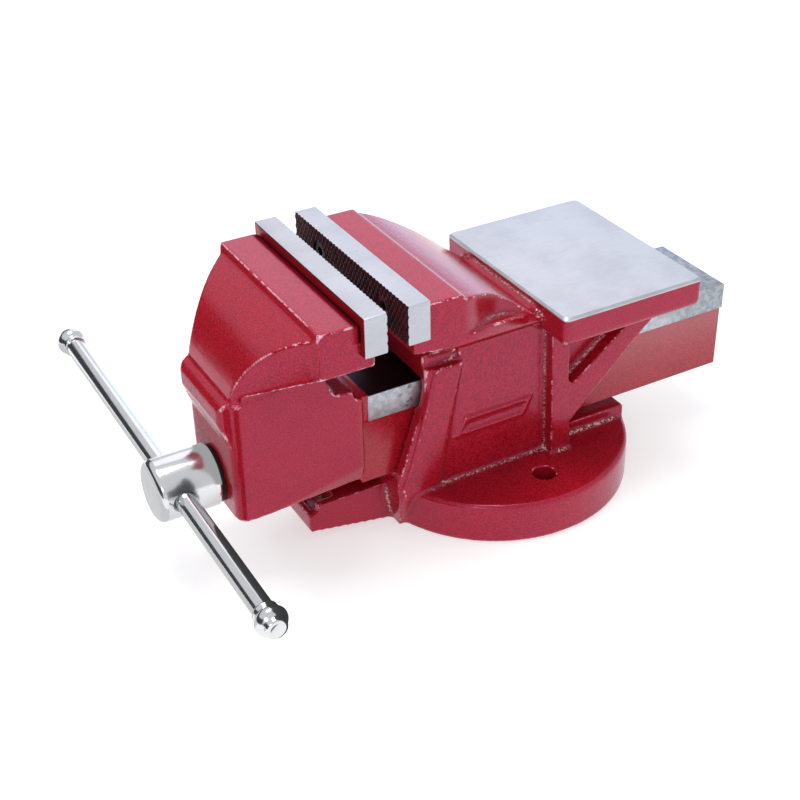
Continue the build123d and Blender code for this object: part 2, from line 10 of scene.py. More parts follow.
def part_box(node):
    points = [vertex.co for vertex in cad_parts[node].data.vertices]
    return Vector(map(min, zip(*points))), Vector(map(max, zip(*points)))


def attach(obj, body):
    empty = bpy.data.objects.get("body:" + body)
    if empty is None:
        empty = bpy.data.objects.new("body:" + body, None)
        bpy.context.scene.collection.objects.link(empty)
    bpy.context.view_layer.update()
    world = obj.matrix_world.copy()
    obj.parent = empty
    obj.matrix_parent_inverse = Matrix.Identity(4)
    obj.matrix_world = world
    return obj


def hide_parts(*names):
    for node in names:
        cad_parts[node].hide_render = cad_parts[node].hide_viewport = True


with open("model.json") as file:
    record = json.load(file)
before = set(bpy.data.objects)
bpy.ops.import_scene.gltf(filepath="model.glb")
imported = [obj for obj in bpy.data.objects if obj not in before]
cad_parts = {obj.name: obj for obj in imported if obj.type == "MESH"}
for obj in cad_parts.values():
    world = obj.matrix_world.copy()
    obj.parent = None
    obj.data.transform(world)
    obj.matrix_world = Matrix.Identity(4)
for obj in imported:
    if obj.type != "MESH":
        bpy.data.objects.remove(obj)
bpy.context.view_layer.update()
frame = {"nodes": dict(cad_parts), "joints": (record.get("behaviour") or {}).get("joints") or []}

mm = 0.001


class Wire:
    # a socket that can be added, multiplied and so on; each operation is a node
    def __init__(self, tree, socket=None):
        self.tree = tree
        self.socket = socket

    def node(self, kind, settings=None, values=None, out=0):
        made = self.tree.nodes.new(kind)
        for name, value in (settings or {}).items():
            setattr(made, name, value)
        for name, value in (values or {}).items():
            if isinstance(value, Wire):
                self.tree.links.new(value.socket, made.inputs[name])
            else:
                made.inputs[name].default_value = value
        return Wire(self.tree, made.outputs[out] if len(made.outputs) else None)

    def sum(self, operation, first, second):
        values = {0: first, 1: second}
        if any(isinstance(x, Wire) and x.socket.type == "VECTOR" for x in (first, second)):
            values = {k: v if isinstance(v, (Wire, tuple)) else (v, v, v) for k, v in values.items()}
            return self.node("ShaderNodeVectorMath", {"operation": operation}, values)
        return self.node("ShaderNodeMath", {"operation": operation}, values)

    def __add__(self, other):
        return self.sum("ADD", self, other)

    def __radd__(self, other):
        return self.sum("ADD", other, self)

    def __sub__(self, other):
        return self.sum("SUBTRACT", self, other)

    def __rsub__(self, other):
        return self.sum("SUBTRACT", other, self)

    def __mul__(self, other):
        return self.sum("MULTIPLY", self, other)

    def __rmul__(self, other):
        return self.sum("MULTIPLY", other, self)

    def __gt__(self, other):
        return self.sum("GREATER_THAN", self, other)

    def atLeast(self, other):
        return self.sum("MAXIMUM", self, other)

    def step(self, low, high):  # 0 below low, 1 above high, smooth between
        return self.node(
            "ShaderNodeMapRange", {"interpolation_type": "SMOOTHSTEP"},
            {"Value": self, "From Min": low, "From Max": high},
        )

    def into(self, dark, light):  # self is the share of light
        return self.node(
            "ShaderNodeMix", {"data_type": "RGBA"}, {0: self, 6: dark, 7: light}, out=2
        )

    def part(self, letter):
        return self.node("ShaderNodeSeparateXYZ", None, {0: self}, out="XYZ".index(letter))

    def noise(self, scale, detail, rough):
        values = {"Vector": self, "Scale": scale, "Detail": detail, "Roughness": rough}
        return self.node("ShaderNodeTexNoise", None, values)

    def bump(self, strength, depth, under=None):
        values = {"Height": self, "Strength": strength, "Distance": depth}
        if under is not None:
            values["Normal"] = under
        return self.node("ShaderNodeBump", None, values)


def finish(name, look):
    # a material whose look(start, place) gives the values of its shader; place is in millimetres
    material = bpy.data.materials.new(name)
    material.use_nodes = True
    tree = material.node_tree
    tree.nodes.clear()
    start = Wire(tree)
    place = start.node("ShaderNodeTexCoord", out=3) * 1000.0
    shader = start.node("ShaderNodeBsdfPrincipled", {"distribution": "MULTI_GGX"}, look(start, place))
    start.node("ShaderNodeOutputMaterial", None, {"Surface": shader})
    return material


paint = {
    "colour": (0.50, 0.010, 0.024, 1.0), "deep": (0.150, 0.0017, 0.0040, 1.0),
    "edge": (0.80, 0.48, 0.56, 1.0), "seamSpeckAndGlint": (0.95, 0.56, 0.46, 1.0), "sheen": (0.92, 0.52, 1.0, 1.0),
    "metallic": 0.10, "roughness": 0.10, "coat": 0.10, "coatRoughness": 0.05, "gloss": 0.58,
    "grain": 1.8, "fine": 3.6, "swell": 0.16, "lump": 0.55,  # noise scales, per millimetre
    "grainDepth": 0.075, "fineDepth": 0.022, "swellDepth": 0.25, "lumpDepth": 0.9,  # millimetres
    "chipsAndGlints": (0.60, 0.92, 0.51, 0.58),  # from and to, on the ridge and in the noise that breaks it up
}
steel = {
    "colour": (0.55, 0.565, 0.61, 1.0), "stain": (0.40, 0.41, 0.44, 1.0), "spot": (0.25, 0.25, 0.25, 1.0),
    "roughness": 0.38, "scratch": 3.0, "along": 0.15,  # scratches run along X
}


def steelColour(place):
    cloud = place.noise(0.045, 3.0, 0.6)
    scratch = (place * (steel["along"], steel["scratch"], steel["scratch"])).noise(1.0, 2.0, 0.6)
    spots = place.noise(0.55, 3.0, 0.7).step(0.66, 0.74)
    share = cloud.step(0.35, 0.65) * 0.35 + scratch.step(0.4, 0.75) * 0.25
    return (spots * 0.5).into(share.into(steel["colour"], steel["stain"]), steel["spot"]), scratch


def paintLook(layers=lambda place: (), chipsAndGlints=paint["chipsAndGlints"], sheen=paint["sheen"]):
    # hammered crimson; layers(place) gives (mask, colour, roughness, metallic) of what lies over it
    def look(start, place):
        crevice = start.node("ShaderNodeAttribute", {"attribute_name": "crevice"}, out=2)
        ridge = start.node("ShaderNodeAttribute", {"attribute_name": "ridge"}, out=2)
        grain = place.noise(paint["grain"], 2.0, 0.6)
        fine = place.noise(paint["fine"], 1.0, 0.5)
        cloud = place.noise(0.06, 2.0, 0.5)
        light = grain.step(0.34, 0.66) * 0.75 + fine * 0.35 + cloud * 0.2 - 0.15
        colour = light.into(paint["deep"], paint["colour"])
        # painted highlight: a pale colour along the ridges where edges catch the light, with some worn paint
        wearAndGlint = ridge.step(*chipsAndGlints[:2]) * place.noise(0.22, 4.0, 0.75).step(*chipsAndGlints[2:])
        colour = (wearAndGlint * 0.75).into(colour, paint["edge"])
        # painted shade: inside corners darkened towards the deep red; the same mask places lumps in the bump
        corner = crevice.step(0.10, 0.45)
        # painted highlight: a pale colour along the seams of inside corners stands for glints on a gritty,
        # more metallic seam
        seamGritAndGlint = crevice.step(0.28, 0.50) * place.noise(0.9, 3.0, 0.7).step(0.48, 0.57)
        colour = (corner * 0.75).into(colour, paint["deep"])
        colour = (seamGritAndGlint * 0.85).into(colour, paint["seamSpeckAndGlint"])
        rough = paint["roughness"] + grain * 0.10 + seamGritAndGlint * 0.12
        metal = paint["metallic"] + seamGritAndGlint * 0.55
        coat = paint["coat"] * (1.0 - seamGritAndGlint)
        height = place.noise(paint["swell"], 2.0, 0.5).bump(0.4, paint["swellDepth"] * mm)
        height = fine.bump(0.5, paint["fineDepth"] * mm, height)
        height = grain.bump(0.7, paint["grainDepth"] * mm, height)
        lumps = corner * place.noise(paint["lump"], 3.0, 0.65)
        height = lumps.bump(0.8, paint["lumpDepth"] * mm, height)
        for mask, over, overRough, overMetal in layers(place):
            colour = mask.into(colour, over)
            rough = rough * (1.0 - mask) + mask * overRough
            metal = metal * (1.0 - mask) + mask * overMetal
            coat = coat * (1.0 - mask)
        return {
            "Base Color": colour, "Roughness": rough, "Metallic": metal, "Normal": height,
            "Coat Weight": coat, "Coat Roughness": paint["coatRoughness"],
            "Specular IOR Level": paint["gloss"], "Specular Tint": sheen,
        }
    return look


def groundLook(start, place):
    colour, scratch = steelColour(place)
    return {
        "Base Color": colour, "Roughness": steel["roughness"] + scratch * 0.14, "Metallic": 1.0,
        "Normal": scratch.bump(0.18, 0.05 * mm, place.noise(0.5, 2.0, 0.5).bump(0.15, 0.08 * mm)),
    }


chrome = {"colour": (0.68, 0.69, 0.705, 1.0), "haze": (0.55, 0.56, 0.575, 1.0), "roughness": 0.11}


def chromeLook(start, place):
    haze = place.noise(0.12, 3.0, 0.6)
    ripple = place.noise(4.0, 1.0, 0.5).bump(0.05, 0.02 * mm)
    return {
        "Base Color": (haze.step(0.45, 0.8) * 0.35).into(chrome["colour"], chrome["haze"]),
        "Roughness": chrome["roughness"] + 0.09 * haze, "Metallic": 1.0,
        "Normal": place.noise(0.35, 2.0, 0.5).bump(0.12, 0.1 * mm, ripple),
    }


blacking = {"colour": (0.008, 0.007, 0.008, 1.0), "worn": (0.03, 0.028, 0.026, 1.0), "roughness": 0.35}


def blackLook(start, place):
    worn = place.noise(0.8, 3.0, 0.6)
    return {
        "Base Color": worn.step(0.5, 0.8).into(blacking["colour"], blacking["worn"]),
        "Roughness": blacking["roughness"] + 0.2 * worn, "Metallic": 0.2, "Specular IOR Level": 0.3,
        "Normal": worn.bump(0.2, 0.05 * mm),
    }


zinc = {"colour": (0.50, 0.51, 0.52, 1.0), "light": (0.62, 0.62, 0.61, 1.0), "roughness": 0.30}


def zincLook(start, place):
    spangle = place.noise(0.7, 2.0, 0.5)
    return {
        "Base Color": spangle.step(0.35, 0.65).into(zinc["colour"], zinc["light"]),
        "Roughness": zinc["roughness"] + 0.15 * spangle, "Metallic": 1.0,
        "Normal": place.noise(2.0, 2.0, 0.5).bump(0.15, 0.04 * mm),
    }


iron = {"colour": (0.045, 0.042, 0.04, 1.0), "light": (0.12, 0.11, 0.10, 1.0), "roughness": 0.45}


def nutLook(start, place):
    sand = place.noise(1.1, 4.0, 0.7)
    return {
        "Base Color": sand.step(0.35, 0.7).into(iron["colour"], iron["light"]),
        "Roughness": iron["roughness"] + 0.25 * sand, "Metallic": 0.6,
        "Normal": sand.bump(0.5, 0.2 * mm),
    }


paintMaterial = finish("crimsonHammered", paintLook())
groundMaterial = finish("groundSteel", groundLook)
chromeMaterial = finish("brightChrome", chromeLook)
blackMaterial = finish("blackOxide", blackLook)
zincMaterial = finish("zincPlate", zincLook)
nutMaterial = finish("nutIron", nutLook)
print("finishes made")


def addPiece(name, mesh, body, materials, stoodFor=()):
    piece = bpy.data.objects.new(name, mesh)
    bpy.context.scene.collection.objects.link(piece)
    for material in materials:
        mesh.materials.append(material)
    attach(piece, body)
    if stoodFor:
        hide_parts(*stoodFor)
    return piece


def smoothShade(mesh, angle=40):
    mesh.polygons.foreach_set("use_smooth", np.ones(len(mesh.polygons), bool))
    mesh.set_sharp_from_angle(angle=math.radians(angle))


def cadCopy(node, keep=()):
    # the node's mesh, welded, cut back to the kept side of each (point, normal) plane
    work = bmesh.new()
    work.from_mesh(frame["nodes"][node].data)
    for face in work.faces:
        face.material_index = 0
    bmesh.ops.remove_doubles(work, verts=work.verts, dist=2e-6)
    for point, normal in keep:
        geometry = work.verts[:] + work.edges[:] + work.faces[:]
        cut = bmesh.ops.bisect_plane(
            work, geom=geometry, plane_co=point, plane_no=normal, clear_outer=True, dist=1e-7
        )
        rim = [e for e in cut["geom_cut"] if isinstance(e, bmesh.types.BMEdge)]
        bmesh.ops.holes_fill(work, edges=rim)
    return work


skin = {
    "voxel": 0.75 * mm, "rounds": 2, "share": 0.6,  # each round goes a share of the way to even
    "farRounds": 24, "hollow": 0.55,  # a wider smoothing tells the inside corners
    "waves": ((0.61, 0.4), (0.97, 1.9), (1.63, 2.7)),  # per millimetre, phase
}


def castSkin(name, work, hold=None, lumps=0.0):
    # a sand-cast skin: remeshed, its corners rounded, with what was inside and outside corner kept
    rough = bpy.data.meshes.new(name + "Rough")
    bmesh.ops.triangulate(work, faces=work.faces)
    work.to_mesh(rough)
    work.free()
    holder = bpy.data.objects.new(name + "Rough", rough)
    bpy.context.scene.collection.objects.link(holder)
    remesh = holder.modifiers.new("remesh", "REMESH")
    remesh.mode = "VOXEL"
    remesh.voxel_size = skin["voxel"]
    bpy.context.view_layer.update()
    made = holder.evaluated_get(bpy.context.evaluated_depsgraph_get())
    mesh = bpy.data.meshes.new_from_object(made)
    bpy.data.objects.remove(holder)
    bpy.data.meshes.remove(rough)
    count = len(mesh.vertices)
    points = np.zeros(count * 3)
    mesh.vertices.foreach_get("co", points)
    points = points.reshape(-1, 3)
    normals = np.zeros(count * 3)
    mesh.vertices.foreach_get("normal", normals)
    normals = normals.reshape(-1, 3)
    edges = np.zeros(len(mesh.edges) * 2, int)
    mesh.edges.foreach_get("vertices", edges)
    a, b = edges.reshape(-1, 2).T
    degree = np.bincount(a, minlength=count) + np.bincount(b, minlength=count)

    def even(values):
        total = np.bincount(a, values[b], count) + np.bincount(b, values[a], count)
        return total / np.maximum(degree, 1)

    free = 1.0 - hold(points) if hold else np.ones(count)
    before = points.copy()
    for _ in range(skin["rounds"]):
        for axis in range(3):
            points[:, axis] += free * skin["share"] * (even(points[:, axis]) - points[:, axis])
    shift = ((points - before) * normals).sum(1) / skin["voxel"]
    far = points.copy()
    for _ in range(skin["farRounds"]):
        for axis in range(3):
            far[:, axis] += skin["share"] * (even(far[:, axis]) - far[:, axis])
    wide = ((far - points) * normals).sum(1) / skin["voxel"]
    crevice = np.clip(wide * skin["hollow"], 0, 1)
    ridge = np.clip(-shift, 0, None)
    crevice, ridge = even(even(crevice)), even(ridge)
    ridge = np.clip(ridge / np.percentile(ridge[ridge > 0.05], 90), 0, 1)
    # lumps of scale and paint where the sand left them, along inside corners
    lump = np.zeros(count)
    x, y, z = points.T / mm
    for step, phase in skin["waves"]:
        lump += np.sin(x * step + phase) * np.sin(y * step * 1.17 + 2 * phase)
        lump += np.sin(z * step * 1.31 + phase) * np.sin(x * step * 0.9 - phase)
    swell = np.clip(crevice - 0.2, 0, 0.5) * np.clip(lump / 2.2 + 0.1, 0, 1) * free
    points += normals * (swell * lumps * mm)[:, None]
    mesh.vertices.foreach_set("co", points.astype(np.float32).ravel())
    for label, values in (("crevice", crevice), ("ridge", ridge)):
        layer = mesh.attributes.new(label, "FLOAT", "POINT")
        layer.data.foreach_set("value", values.astype(np.float32))
    mesh.polygons.foreach_set("use_smooth", np.ones(len(mesh.polygons), bool))
    mesh.name = name
    mesh.update()
    print(name, count, "points")
    return mesh


view = {
    "turn": -29.7922, "tilt": 31.9753, "roll": -0.6805, "away": 0.551844,
    "target": (-0.0715, -0.063353, 0.102056), "lens": 64.38, "shift": (-0.03286, -0.02515),
}


def addCamera():
    data = bpy.data.cameras.new("camera")
    data.sensor_width = 36.0
    data.lens = view["lens"]
    data.shift_x, data.shift_y = view["shift"]
    data.clip_start, data.clip_end = 0.01, 20.0
    camera = bpy.data.objects.new("camera", data)
    bpy.context.scene.collection.objects.link(camera)
    turn, tilt, roll = (math.radians(view[k]) for k in ("turn", "tilt", "roll"))
    back = Vector((math.sin(turn) * math.cos(tilt), -math.cos(turn) * math.cos(tilt), math.sin(tilt)))
    right = Vector((math.cos(turn), math.sin(turn), 0))
    up = back.cross(right)
    right, up = (
        math.cos(roll) * right + math.sin(roll) * up, math.cos(roll) * up - math.sin(roll) * right
    )
    at = Vector(view["target"]) + back * view["away"]
    camera.matrix_world = Matrix((
        (right.x, up.x, back.x, at.x), (right.y, up.y, back.y, at.y), (right.z, up.z, back.z, at.z),
        (0, 0, 0, 1),
    ))
    bpy.context.scene.camera = camera


studio = {
    "sky": (0.97, 0.985, 1.0, 1.0), "world": 0.82,
    "floorHalf": 8.0, "floorDrop": -0.0002, "paper": (0.60, 0.60, 0.60, 1.0), "paperGlow": 0.85,
    "roomRadius": 0.6, "roomHeight": 0.27, "roomFrom": 95.0, "roomTo": 215.0, "roomSteps": 40,
    "roomCloth": (0.05, 0.05, 0.055, 1.0), "flagCloth": (0.05, 0.05, 0.05, 1.0), "flagGlow": 20,
    "lampsAt": (0, 0, 0.06),
}
lamps = {  # place, width, height, watts, colour
    "topLight": ((-0.15, 0.1, 1.4), 0.5, 0.5, 9.0, (0.98, 0.99, 1.0)),
    "sideLight": ((-1.0, -1.1, 0.8), 0.3, 0.3, 3.0, (0.98, 0.99, 1.0)),
    "backLight": ((0.62, 1.08, 0.98), 1.2, 1.0, 2.6, (0.92, 0.84, 1.0)),
    "rimLight": ((0.75, 0.81, 0.17), 0.8, 0.30, 0.85, (0.25, 0.68, 1.0)),
}
flags = {  # dark and grey cards that glow, seen only in reflections, that keep the red casting and the bright floor out of the chrome
    "barFlag": (0.02, [(-147, -110, 8), (-147, -30, 8), (-147, -30, 80), (-147, -110, 80)]),
    "headFlag": (0.45, [(-139.4, -24, 46), (-139.4, 24, 46), (-139.4, 24, 76), (-139.4, -24, 76)]),
    "endFlag": (0.74, [(-380, -60, 1), (-160, -60, 1), (-160, 220, 1), (-380, 220, 1)]),
}


def plainMaterial(name, colour, glow=0.0, rough=0.8):
    def look(start, place):
        cloud = place.noise(0.004, 2.0, 0.5)
        warm = cloud.into(colour, tuple(min(1.0, c * 1.02) for c in colour[:3]) + (1.0,))
        return {
            "Base Color": warm, "Roughness": rough, "Emission Color": colour, "Emission Strength": glow,
            "Specular IOR Level": 0.0,
        }
    return finish(name, look)


def addCard(name, corners, material):
    mesh = bpy.data.meshes.new(name)
    mesh.from_pydata(corners, [], [tuple(range(len(corners)))])
    mesh.materials.append(material)
    card = bpy.data.objects.new(name, mesh)
    bpy.context.scene.collection.objects.link(card)
    return card


def addStudio():
    world = bpy.data.worlds.new("studio")
    world.use_nodes = True
    tree = world.node_tree
    tree.nodes.clear()
    start = Wire(tree)
    glow = start.node("ShaderNodeBackground", None, {"Color": studio["sky"], "Strength": studio["world"]})
    start.node("ShaderNodeOutputWorld", None, {"Surface": glow})
    bpy.context.scene.world = world
    half, drop = studio["floorHalf"], studio["floorDrop"]
    corners = [(-half, -half, drop), (half, -half, drop), (half, half, drop), (-half, half, drop)]
    paper = plainMaterial("floorPaper", studio["paper"], studio["paperGlow"])
    floor = addCard("floor", corners, paper)
    # a dark room behind, seen only in reflections
    ring = bmesh.new()
    rim = []
    steps = studio["roomSteps"]
    for k in range(steps + 1):
        angle = math.radians(studio["roomFrom"] + (studio["roomTo"] - studio["roomFrom"]) * k / steps)
        x, y = studio["roomRadius"] * math.cos(angle), studio["roomRadius"] * math.sin(angle)
        rim.append((ring.verts.new((x, y, 0.0)), ring.verts.new((x, y, studio["roomHeight"]))))
    for one, two in zip(rim, rim[1:]):
        ring.faces.new((one[0], two[0], two[1], one[1]))
    ringMesh = bpy.data.meshes.new("darkRoom")
    ring.to_mesh(ringMesh)
    ring.free()
    ringMesh.materials.append(plainMaterial("darkCloth", studio["roomCloth"], 0.0, 1.0))
    room = bpy.data.objects.new("darkRoom", ringMesh)
    bpy.context.scene.collection.objects.link(room)
    room.visible_camera = room.visible_diffuse = room.visible_shadow = False
    for name, (glowShare, places) in flags.items():
        corners = [tuple(c * mm for c in corner) for corner in places]
        cloth = plainMaterial(name + "Cloth", studio["flagCloth"], glowShare * studio["flagGlow"], 1.0)
        flag = addCard(name, corners, cloth)
        flag.visible_camera = flag.visible_diffuse = flag.visible_shadow = False
    for name, (at, wide, high, power, colour) in lamps.items():
        data = bpy.data.lights.new(name, "AREA")
        data.shape = "RECTANGLE"
        data.size, data.size_y = wide, high
        data.energy = power
        data.color = colour
        lamp = bpy.data.objects.new(name, data)
        bpy.context.scene.collection.objects.link(lamp)
        lamp.location = at
        lamp.rotation_mode = "QUATERNION"
        lamp.rotation_quaternion = (Vector(at) - Vector(studio["lampsAt"])).to_track_quat("Z", "Y")
    bpy.context.scene.view_settings.view_transform = "Standard"


addCamera()
addStudio()
print("camera and studio set")


anvilFace = {
    "front": 4.5, "rear": 77.9, "half": 48.3, "top": 98.8, "corner": 2.5, "thick": 1.5, "chamfer": 0.95,
    "step": 1.2, "ragged": 0.16, "wavy": 0.18,  # spacing of its rim's points and how far they wander
}
bodySkin = {"lumps": 1.6, "squareFrom": 2.0, "squareAbove": 94.5, "tuck": 0.3}


def addBody():
    def hold(points):  # the anvil's upper rim stays square under its ground face
        x, y, z = points.T / mm
        return ((x > bodySkin["squareFrom"]) & (z > bodySkin["squareAbove"])).astype(float)
    mesh = castSkin("bodyCasting", cadCopy("fixed_body"), hold, bodySkin["lumps"])
    seat = (anvilFace["top"] - anvilFace["thick"] + bodySkin["tuck"]) * mm
    for vertex in mesh.vertices:
        if vertex.co.z > seat and vertex.co.x > anvilFace["front"] * mm - 1 * mm:
            vertex.co.z = seat
    addPiece("bodyCasting", mesh, "base", [paintMaterial], ["fixed_body"])


def wobble(along, size):
    # small uneven offset along an edge, from a few sines
    slow, quick = math.sin(along * 0.31), 0.7 * math.sin(along * 0.83 + 1.3)
    return size * (slow + quick + 0.5 * math.sin(along * 1.9 + 0.4)) / 2


def addAnvilFace():
    a = anvilFace
    corner, points = a["corner"], []
    low, high = (a["front"], -a["half"]), (a["rear"], a["half"])
    for cx, cy, begin in (
        (high[0], high[1], 0), (low[0], high[1], 90), (low[0], low[1], 180), (high[0], low[1], 270)
    ):
        mx, my = cx - math.copysign(corner, cx - 40), cy - math.copysign(corner, cy)
        for i in range(7):
            angle = math.radians(begin + 15 * i)
            points.append(Vector((mx + corner * math.cos(angle), my + corner * math.sin(angle), 0)))
    dense = []
    for one, two in zip(points, points[1:] + points[:1]):
        steps = max(1, round((two - one).length / a["step"]))
        dense += [one.lerp(two, i / steps) for i in range(steps)]
    work = bmesh.new()
    rings = []
    centre = Vector(((low[0] + high[0]) / 2, 0, 0))
    size = Vector((high[0] - low[0], high[1] - low[1])) / 2
    for inset, height in (
        (0.0, a["top"] - a["thick"]), (-0.03, a["top"] - a["chamfer"]), (a["chamfer"], a["top"] - 0.04),
        (a["chamfer"] + 0.25, a["top"]),
    ):
        ring, along = [], 0.0
        for i, p in enumerate(dense):
            along += (p - dense[i - 1]).length
            push = inset + (wobble(along, a["ragged"]) if inset > 0 else 0)
            x = centre.x + (p.x - centre.x) * (1 - push / size.x)
            y = p.y * (1 - push / size.y)
            z = height + (wobble(along * 1.3, a["wavy"]) if inset < 0 else 0)
            ring.append(work.verts.new((x * mm, y * mm, z * mm)))
        rings.append(ring)
    for under, over in zip(rings, rings[1:]):
        for i in range(len(under)):
            j = (i + 1) % len(under)
            work.faces.new((under[i], under[j], over[j], over[i]))
    work.faces.new(rings[-1])
    work.faces.new(list(reversed(rings[0])))
    mesh = bpy.data.meshes.new("anvilFace")
    bmesh.ops.recalc_face_normals(work, faces=work.faces)
    work.to_mesh(mesh)
    work.free()
    smoothShade(mesh, 25)
    addPiece("anvilFace", mesh, "base", [groundMaterial], ["fixed_body"])


slide = {
    "guideLow": 61.4, "bareFrom": -75.9, "top": 74.4, "bodyFace": -30.0, "overlap": 6.0, "edge": 0.5,
    "dull": (0.19, 0.235, 0.25, 1.0), "oilAndThroatShade": (0.022, 0.021, 0.022, 1.0), "sheen": (0.92, 0.78, 0.92, 1.0),
}
jaw = {
    "plateBack": -90.7, "lip": 3.6, "drop": 0.9, "lipAbove": 118.0, "chipsAndGlints": (0.55, 0.85, 0.47, 0.54),
    "runAndShade": (0.26, 0.006, 0.014, 1.0), "gapShadow": (0.012, 0.011, 0.012, 1.0),
}


def slideLayers(place):
    # ground guides of the slide: the sides of its flanges and its top; its top in front of the body, in the
    # throat, and a few blotches are near black, painted shade and oil
    x, z = place.part("X"), place.part("Z")
    ragged = place.noise(0.35, 3.0, 0.6) * 1.2
    bare = (z + ragged * 0.5 > slide["guideLow"]) * (x + ragged > slide["bareFrom"])
    top = z.step(slide["top"] - 0.9, slide["top"] - 0.3)
    near = 1.0 - x.step(slide["bodyFace"], slide["bodyFace"] + 12.0)
    middle = (1.0 - x.step(-60.0, -50.0)) * x.step(-64.0, -59.0)
    blotch = place.noise(0.25, 3.0, 0.6).step(0.55, 0.62) * middle
    colour, scratch = steelColour(place)
    dull = place.noise(0.35, 3.0, 0.65).step(0.40, 0.60) * 0.4 + x.step(80.0, 90.0) * 0.35
    # painted shade: the top in the throat is near black, as if in shade, with oil blotches
    oilAndThroatShade = bare * (top * near).atLeast(blotch * 0.85)
    return (
        (bare, dull.into(colour, slide["dull"]), steel["roughness"] + scratch * 0.12, 1.0),
        (oilAndThroatShade, slide["oilAndThroatShade"], 0.4, 1.0),
    )


def jointLayers(place):
    # painted shade where the casting meets the back of the moving plate: a deep red band and a black line for
    # the shadowed gap
    x, high = place.part("X"), place.part("Z") > jaw["lipAbove"] - 2.0
    ragged = place.noise(0.3, 2.0, 0.5) * 0.8 - 0.4
    runAndShade = (x + ragged).step(jaw["plateBack"] - 4.2, jaw["plateBack"] - 2.6) * high
    gapShadow = (x + ragged).step(jaw["plateBack"] - 1.1, jaw["plateBack"] - 0.7) * high
    return (runAndShade * 0.9, jaw["runAndShade"], 0.35, 0.9), (gapShadow, jaw["gapShadow"], 0.7, 1.0)


slideMaterial = finish("slidePaintAndGround", paintLook(slideLayers, sheen=slide["sheen"]))
jawMaterial = finish("crimsonHammeredJaw", paintLook(jointLayers, jaw["chipsAndGlints"]))


def addMovingJaw():
    split = slide["bareFrom"] * mm
    work = cadCopy("moving_jaw", [((split, 0, 0), (1, 0, 0))])
    mesh = castSkin("jawCasting", work)
    for vertex in mesh.vertices:  # the rim behind the plate falls away
        share = 1 - (jaw["plateBack"] * mm - vertex.co.x) / (jaw["lip"] * mm)
        if vertex.co.z > jaw["lipAbove"] * mm and share > 0:
            vertex.co.z -= min(share, 1.0) ** 2 * jaw["drop"] * mm
    addPiece("jawCasting", mesh, "sliding_jaw", [jawMaterial], ["moving_jaw"])
    work = cadCopy("moving_jaw", [((split - slide["overlap"] * mm, 0, 0), (-1, 0, 0))])
    bar = bpy.data.meshes.new("slideBar")
    bmesh.ops.dissolve_limit(work, angle_limit=math.radians(1.0), verts=work.verts, edges=work.edges)
    work.to_mesh(bar)
    work.free()
    smoothShade(bar, 30)
    piece = addPiece("slideBar", bar, "sliding_jaw", [slideMaterial], ["moving_jaw"])
    bevel = piece.modifiers.new("edges", "BEVEL")
    bevel.width = slide["edge"] * mm
    bevel.segments = 2
    bevel.limit_method = "ANGLE"
    bevel.angle_limit = math.radians(35)


addBody()
addAnvilFace()
addMovingJaw()
print("castings made")


def rounded(corners):
    # (along, radius, fillet) corners in millimetres to a profile with each fillet worked out
    points = []
    for i, (along, radius, fillet) in enumerate(corners):
        here = Vector((along, radius))
        if not fillet or i in (0, len(corners) - 1):
            points.append(here)
            continue
        before = Vector(corners[i - 1][:2]) - here
        after = Vector(corners[i + 1][:2]) - here
        half = before.angle(after) / 2
        reach = fillet / math.tan(half)
        first, last = here + before.normalized() * reach, here + after.normalized() * reach
        middle = here + (before.normalized() + after.normalized()).normalized() * fillet / math.sin(half)
        sweep = (first - middle).angle_signed(last - middle)
        steps = max(3, int(abs(math.degrees(sweep)) / 9))
        for k in range(steps + 1):
            arm = first - middle
            turn = -sweep * k / steps
            cos, sin = math.cos(turn), math.sin(turn)
            points.append(middle + Vector((arm.x * cos - arm.y * sin, arm.x * sin + arm.y * cos)))
    return points


def turned(work, profile, centre, axis, segments=96):
    # adds a turned solid to work: profile of (along, radius) from centre along axis
    axis = Vector(axis).normalized()
    side = axis.orthogonal().normalized()
    other = axis.cross(side)
    rings = []
    for along, radius in profile:
        middle = Vector(centre) + axis * along * mm
        if radius < 1e-6:
            rings.append([work.verts.new(middle)])
            continue
        rings.append([
            work.verts.new(middle + radius * mm * (
                side * math.cos(2 * math.pi * k / segments) + other * math.sin(2 * math.pi * k / segments)
            )) for k in range(segments)
        ])
    made = []
    for one, two in zip(rings, rings[1:]):
        for k in range(segments):
            j = (k + 1) % segments
            corners = [one[k % len(one)], one[j % len(one)], two[j % len(two)], two[k % len(two)]]
            made.append(work.faces.new(list(dict.fromkeys(corners))))
    bmesh.ops.recalc_face_normals(work, faces=made)


def cutWith(piece, cutter):
    cutObject = bpy.data.objects.new("cutter", cutter)
    bpy.context.scene.collection.objects.link(cutObject)
    cut = piece.modifiers.new("cut", "BOOLEAN")
    cut.operation = "DIFFERENCE"
    cut.solver = "EXACT"
    cut.object = cutObject
    bpy.context.view_layer.update()
    mesh = bpy.data.meshes.new_from_object(piece.evaluated_get(bpy.context.evaluated_depsgraph_get()))
    piece.modifiers.clear()
    piece.data = mesh
    bpy.data.objects.remove(cutObject)
    return mesh


